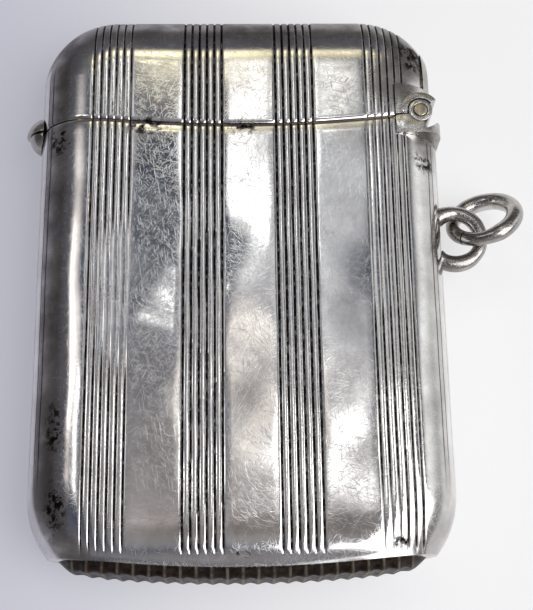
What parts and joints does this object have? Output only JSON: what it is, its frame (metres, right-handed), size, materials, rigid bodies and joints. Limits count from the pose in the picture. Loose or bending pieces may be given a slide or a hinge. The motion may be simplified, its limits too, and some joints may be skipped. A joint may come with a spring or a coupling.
{
  "type": "vesta case",
  "caption": "Pocket match case in worn silver: cushion-shaped body, side-hinged snap lid, ribbed striker in the base, engraved line bands and a side loop with a jump ring for a chain.",
  "frame": {"origin": "middle of the back face, on the surface that the case lies on", "axes": "+X to the hinge and loop side, +Y towards the lid, +Z out of the front face"},
  "size_m": [0.0415, 0.0478, 0.0086],
  "materials": {
    "polished_silver": "worn polish with fine scratches and dark oxide in the engraved lines",
    "tarnished_silver": "handled silver wire with a grey tarnish",
    "oxidised_silver": "dark oxidised silver, ribbed, brighter on the rib crests",
    "gilt_silver": "worn gilding inside the mouth",
    "hinge_brass": "filed flush pin ends",
    "spring_steel": "dull blue-grey spring strip"
  },
  "bodies": {
    "case": {"body_front_shell": "polished_silver", "body_back_shell": "polished_silver", "base_striker": "oxidised_silver", "mouth_collar": "gilt_silver", "body_lug": "polished_silver", "body_hinge_bearer": "polished_silver", "front_knuckle": "polished_silver", "rear_knuckle": "polished_silver", "hinge_pin": "hinge_brass", "lid_spring": "spring_steel", "chain_loop": "tarnished_silver"},
    "lid": {"lid_front_shell": "polished_silver", "lid_back_shell": "polished_silver", "lid_hinge_bearer": "polished_silver", "lid_knuckle": "polished_silver", "thumb_piece": "polished_silver"},
    "ring": {"jump_ring": "tarnished_silver"}
  },
  "joints": [
    {"name": "lid_hinge", "type": "hinge", "parent": "case", "child": "lid", "pos_m": [0.015, 0.01391, 0.0043], "axis": [0, 0, -1], "range_deg": [0, 95]},
    {"name": "ring_swing", "type": "hinge", "parent": "case", "child": "ring", "pos_m": [0.0201, 0.00405, 0.0043], "axis": [0, -1, 0], "range_deg": [0, 105]}
  ]
}
